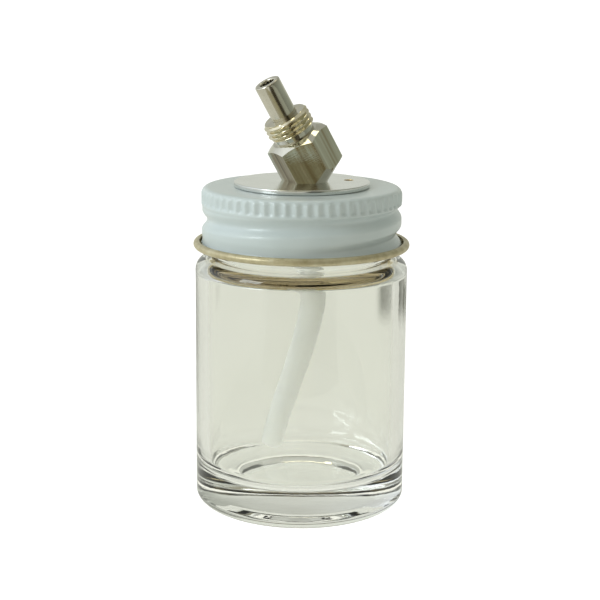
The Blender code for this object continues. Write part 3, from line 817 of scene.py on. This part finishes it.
# clear glass lets the lamps light what stands inside it
jar.visible_shadow = False
cap = build_cap()
cap.data.materials.append(enamel)
cap.data.materials.append(lacquer)
cap.data.materials.append(inside)
cut(cap, drill("drill_cap", *VENT, 52.0, 56.0))
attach(cap, "cap")
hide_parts("cap_shell")
disc = build_disc()
indices = [face.material_index for face in disc.data.polygons]
assign(disc, disc_metal, brass)
disc.data.polygons.foreach_set("material_index", indices)
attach(disc, "feed")
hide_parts("cover_disc")
fitting = build_fitting()
milled_faces = []
for face in fitting.data.polygons:
    local = TILT.inverted() @ face.center
    flat = abs(face.normal.dot(AXIS)) < 0.05
    thread = THREAD_FROM <= local.z / MM <= THREAD_TO and math.hypot(local.x, local.y) < 4.2 * MM
    milled_faces.append(2 if thread else 1 if flat and math.hypot(local.x, local.y) > 4.5 * MM else 0)
assign(fitting, nickel, milled, painted_gold_threads)
fitting.data.polygons.foreach_set("material_index", milled_faces)
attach(fitting, "feed")
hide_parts("hex_fitting")
place(build_tube(), [tube_metal], "feed", "colour_tube", "tube_nickel")
place(build_dip_tube(), [poly], "feed", "siphon_tube", "milky_polythene")
place(build_liner(), [pulp], "liner", "sealing_liner", "liner_pulp")
place(build_nipple(), [brass], "feed", "feed_nipple", "nipple_brass")
place(build_backing(), [zinc], "feed", "backing_washer", "zinc_plate")
place(build_spring_washer(), [spring], "feed", "lock_washer", "spring_steel")
place(build_nut(), [nut_metal], "feed", "lock_nut", "nut_steel")


# ------------------------------------------------------------------------------------------
# studio
# ------------------------------------------------------------------------------------------
def build_floor():
    """Pale paper; the camera sees it brighter than it lights the object."""
    size = 6.0
    floor = make("floor", [(-size, -size, 0), (size, -size, 0), (size, size, 0), (-size, size, 0)], [[0, 1, 2, 3]])
    mat = bpy.data.materials.new("floor_paper")
    mat.use_nodes = True
    tree = mat.node_tree
    tree.nodes.clear()
    vector = object_coords(tree)
    grain = noise(tree, vector, 14.0, 3.0)
    sides = []
    for low, high, glow in ((0.30, 0.34, (0.95, 0.95, 0.95)), (0.30, 0.34, (0.50, 0.505, 0.445))):
        spread = node(tree, "ShaderNodeBsdfDiffuse")
        tree.links.new(ramp(tree, grain, [(0.3, (low, low, low)), (0.7, (high, high, high))]), spread.inputs["Color"])
        glowing = node(tree, "ShaderNodeEmission")
        glowing.inputs["Color"].default_value = (*glow, 1.0)
        both = node(tree, "ShaderNodeAddShader")
        tree.links.new(spread.outputs[0], both.inputs[0])
        tree.links.new(glowing.outputs[0], both.inputs[1])
        sides.append(both)
    path = node(tree, "ShaderNodeLightPath")
    mix = node(tree, "ShaderNodeMixShader")
    tree.links.new(path.outputs["Is Camera Ray"], mix.inputs["Fac"])
    tree.links.new(sides[1].outputs[0], mix.inputs[1])
    tree.links.new(sides[0].outputs[0], mix.inputs[2])
    out = node(tree, "ShaderNodeOutputMaterial")
    tree.links.new(mix.outputs[0], out.inputs["Surface"])
    assign(floor, mat)
    floor.visible_shadow = False


def card(name, corners, colour, *fades):
    """A studio card out of the camera's sight, seen only in reflections and through the glass.

    Each pair of points in fades takes it from nothing to its full strength."""
    board = make(name, [Vector(c) for c in corners], [list(range(len(corners)))])
    mat, tree, shader = new_material(name)
    vector = object_coords(tree)
    dark = tuple(c * 0.9 for c in colour)
    tree.links.new(ramp(tree, noise(tree, vector, 20.0, 2.0), [(0.3, dark), (0.7, colour)]), shader.inputs["Base Color"])
    shader.inputs["Roughness"].default_value = 0.8
    shader.inputs["Specular IOR Level"].default_value = 0.0
    alpha = None
    for fade_from, fade_to in fades:
        start, way = Vector(fade_from), Vector(fade_to) - Vector(fade_from)
        shift = node(tree, "ShaderNodeVectorMath", operation="SUBTRACT")
        shift.inputs[1].default_value = start
        tree.links.new(vector, shift.inputs[0])
        along = node(tree, "ShaderNodeVectorMath", operation="DOT_PRODUCT")
        along.inputs[1].default_value = way / way.length_squared
        tree.links.new(shift.outputs["Vector"], along.inputs[0])
        soft = node(tree, "ShaderNodeMapRange", interpolation_type="SMOOTHSTEP")
        tree.links.new(along.outputs["Value"], soft.inputs["Value"])
        if alpha is None:
            alpha = soft.outputs["Result"]
        else:
            both = node(tree, "ShaderNodeMath", operation="MULTIPLY")
            tree.links.new(alpha, both.inputs[0])
            tree.links.new(soft.outputs["Result"], both.inputs[1])
            alpha = both.outputs[0]
    tree.links.new(alpha, shader.inputs["Alpha"])
    assign(board, mat)
    board.visible_camera = False
    board.visible_shadow = False


def panel(name, corners, stops):
    """A small glowing board, banded from side to side, that only reflections see."""
    board = make(name, [Vector(c) for c in corners], [[0, 1, 2, 3]])
    mat, tree, shader = new_material(name)
    shader.inputs["Base Color"].default_value = (0.0, 0.0, 0.0, 1.0)
    shader.inputs["Specular IOR Level"].default_value = 0.0
    split = node(tree, "ShaderNodeSeparateXYZ")
    tree.links.new(object_coords(tree), split.inputs[0])
    bands = ramp(tree, map_range_from(tree, split.outputs["X"], corners[0][0], corners[1][0]), stops)
    tree.links.new(bands, shader.inputs["Emission Color"])
    shader.inputs["Emission Strength"].default_value = 1.0
    assign(board, mat)
    for kind in ("visible_camera", "visible_diffuse", "visible_shadow"):
        setattr(board, kind, False)


def area(name, place_at, target, size, power, colour):
    data = bpy.data.lights.new(name, "AREA")
    data.shape, data.size, data.size_y = "RECTANGLE", size[0], size[1]
    data.energy, data.color = power, colour
    obj = bpy.data.objects.new(name, data)
    obj.location = place_at
    obj.rotation_euler = (Vector(target) - Vector(place_at)).to_track_quat("-Z", "Y").to_euler()
    bpy.context.scene.collection.objects.link(obj)
    return obj


def build_world():
    world = bpy.data.worlds.new("studio")
    bpy.context.scene.world = world
    world.use_nodes = True
    tree = world.node_tree
    tree.nodes.clear()
    coords = node(tree, "ShaderNodeTexCoord")
    parts = node(tree, "ShaderNodeSeparateXYZ")
    tree.links.new(coords.outputs["Generated"], parts.inputs["Vector"])
    turn = node(tree, "ShaderNodeMath", operation="ARCTAN2")      # 0 towards -Y, + towards +X
    minus = node(tree, "ShaderNodeMath", operation="MULTIPLY")
    minus.inputs[1].default_value = -1.0
    tree.links.new(parts.outputs["Y"], minus.inputs[0])
    tree.links.new(parts.outputs["X"], turn.inputs[0])
    tree.links.new(minus.outputs[0], turn.inputs[1])
    unit = node(tree, "ShaderNodeMapRange")
    unit.inputs["From Min"].default_value, unit.inputs["From Max"].default_value = -math.pi, math.pi
    tree.links.new(turn.outputs[0], unit.inputs["Value"])
    around = ramp(tree, unit.outputs["Result"], [
        (0.00, (0.70, 0.72, 0.65)), (0.09, (0.72, 0.75, 0.69)), (0.15, (0.92, 0.98, 1.00)), (0.24, (1.15, 1.22, 1.26)),
        (0.32, (0.90, 0.94, 0.94)), (0.40, (0.62, 0.62, 0.55)), (0.46, (0.40, 0.36, 0.26)), (0.50, (0.20, 0.17, 0.11)),
        (0.53, (0.05, 0.045, 0.03)), (0.61, (0.05, 0.045, 0.03)), (0.66, (0.22, 0.23, 0.19)), (0.74, (0.30, 0.33, 0.28)),
        (0.84, (0.38, 0.41, 0.35)), (0.93, (0.66, 0.68, 0.61)), (1.00, (0.70, 0.72, 0.65))])
    upper = ramp(tree, unit.outputs["Result"], [
        (0.00, (0.45, 0.46, 0.41)), (0.12, (0.60, 0.62, 0.60)), (0.20, (1.15, 1.22, 1.28)), (0.30, (1.00, 1.05, 1.08)),
        (0.38, (0.40, 0.37, 0.26)), (0.440, (0.30, 0.28, 0.17)), (0.462, (0.05, 0.045, 0.03)), (0.474, (0.06, 0.05, 0.03)),
        (0.482, (0.50, 0.32, 0.19)), (0.490, (0.10, 0.09, 0.06)), (0.500, (0.42, 0.405, 0.275)), (0.522, (0.37, 0.36, 0.25)),
        (0.533, (0.05, 0.045, 0.03)), (0.560, (0.05, 0.045, 0.03)), (0.585, (0.28, 0.27, 0.19)), (0.68, (0.28, 0.27, 0.20)),
        (0.82, (0.36, 0.38, 0.33)), (1.00, (0.45, 0.46, 0.41))])
    lift = ramp(tree, map_range_from(tree, parts.outputs["Z"], 0.0, 1.0), [
        (0.0, (0.0, 0.0, 0.0)), (0.22, (0.0, 0.0, 0.0)), (0.42, (1.0, 1.0, 1.0)), (1.0, (1.0, 1.0, 1.0))])
    blend = node(tree, "ShaderNodeMix", data_type="RGBA")
    tree.links.new(lift, blend.inputs["Factor"])
    tree.links.new(around, blend.inputs["A"])
    tree.links.new(upper, blend.inputs["B"])
    high = ramp(tree, map_range_from(tree, parts.outputs["Z"], 0.0, 1.0), [
        (0.0, (0.0, 0.0, 0.0)), (0.74, (0.0, 0.0, 0.0)), (0.90, (1.0, 1.0, 1.0)), (1.0, (1.0, 1.0, 1.0))])
    dome = node(tree, "ShaderNodeMix", data_type="RGBA")
    tree.links.new(high, dome.inputs["Factor"])
    tree.links.new(blend.outputs["Result"], dome.inputs["A"])
    dome.inputs["B"].default_value = (0.52, 0.53, 0.48, 1.0)
    seen = node(tree, "ShaderNodeBackground")
    seen.inputs["Color"].default_value = (1.0, 1.0, 1.0, 1.0)
    seen.inputs["Strength"].default_value = 1.0
    lit = node(tree, "ShaderNodeBackground")
    tree.links.new(dome.outputs["Result"], lit.inputs["Color"])
    lit.inputs["Strength"].default_value = 1.0
    path = node(tree, "ShaderNodeLightPath")
    mix = node(tree, "ShaderNodeMixShader")
    tree.links.new(path.outputs["Is Camera Ray"], mix.inputs["Fac"])
    tree.links.new(lit.outputs[0], mix.inputs[1])
    tree.links.new(seen.outputs[0], mix.inputs[2])
    out = node(tree, "ShaderNodeOutputWorld")
    tree.links.new(mix.outputs[0], out.inputs["Surface"])


def map_range_from(tree, value, low, high):
    made = node(tree, "ShaderNodeMapRange")
    made.inputs["From Min"].default_value = low
    made.inputs["From Max"].default_value = high
    tree.links.new(value, made.inputs["Value"])
    return made.outputs["Result"]


def build_camera():
    data = bpy.data.cameras.new("camera")
    data.sensor_width = 36.0
    data.lens = 95.8
    data.clip_start, data.clip_end = 0.01, 30.0
    cam = bpy.data.objects.new("camera", data)
    pitch, roll = math.radians(90.0 - 12.335), 0.008
    cam.matrix_world = (Matrix.Translation((-0.00017, -0.2634, 0.0929)) @ Matrix.Rotation(pitch, 4, "X")
                        @ Matrix.Rotation(roll, 4, "Z"))
    bpy.context.scene.collection.objects.link(cam)
    bpy.context.scene.camera = cam


build_floor()
build_world()
build_camera()
middle = (0, 0, 0.035)
area("key_left", (-0.55, -0.34, 0.36), middle, (0.30, 0.30), 1.7, (0.86, 0.95, 1.0))
area("lamp_back", (-0.02, 0.25, 0.66), middle, (0.15, 0.15), 0.16, (1.0, 0.93, 0.62))
area("lamp_left", (-0.25, 0.03, 0.74), middle, (0.15, 0.15), 0.16, (1.0, 0.93, 0.62))
fill = area("fill_front", (0.40, -0.80, 0.40), middle, (0.80, 0.80), 1.5, (0.96, 1.0, 1.0))
fill.visible_glossy = False
panel("panel_front", [(-0.030, -0.0427, 0.0159), (0.030, -0.0427, 0.0159), (0.030, -0.0605, 0.0425),
                      (-0.030, -0.0605, 0.0425)],
      [(0.00, (0.46, 0.45, 0.36)), (0.30, (0.42, 0.40, 0.27)), (0.58, (0.34, 0.32, 0.19)), (0.65, (0.16, 0.14, 0.08)),
       (0.71, (0.06, 0.055, 0.035)), (1.00, (0.10, 0.09, 0.065))])
card("card_stripe", [(-0.004, -0.128, 0.006), (0.074, -0.094, 0.006), (0.074, -0.094, 0.058), (-0.004, -0.128, 0.058)],
     (0.06, 0.05, 0.03), ((0.006, -0.1236, 0), (0.026, -0.1149, 0)), ((0.074, -0.094, 0), (0.060, -0.1001, 0)))
panel("panel_grey", [(0.064, -0.116, 0.034), (0.114, -0.056, 0.034), (0.114, -0.056, 0.078), (0.064, -0.116, 0.078)],
      [(0.0, (0.20, 0.20, 0.16)), (0.25, (0.36, 0.38, 0.31)), (1.0, (0.42, 0.45, 0.38))])
card("card_right", [(0.034, 0.112, 0.004), (0.078, 0.088, 0.004), (0.078, 0.088, 0.021), (0.034, 0.112, 0.021)],
     (0.10, 0.10, 0.08), ((0.034, 0.112, 0), (0.048, 0.1044, 0)), ((0, 0, 0.0205), (0, 0, 0.0135)),
     ((0, 0, 0.004), (0, 0, 0.012)))
for name in ("panel_front", "panel_grey", "card_stripe"):
    bpy.data.objects[name].visible_transmission = False
under = area("table_glow", (0.0, -0.05, -0.30), middle, (0.60, 0.60), 0.65, (1.0, 0.96, 0.80))
low = area("low_glow", (0.0, 0.0, -0.10), middle, (0.03, 0.03), 0.07, (1.0, 0.97, 0.88))
low.visible_glossy = False
low.visible_transmission = False
under.visible_glossy = False
under.visible_transmission = False
bpy.context.scene.view_settings.view_transform = "Standard"

bpy.context.view_layer.update()
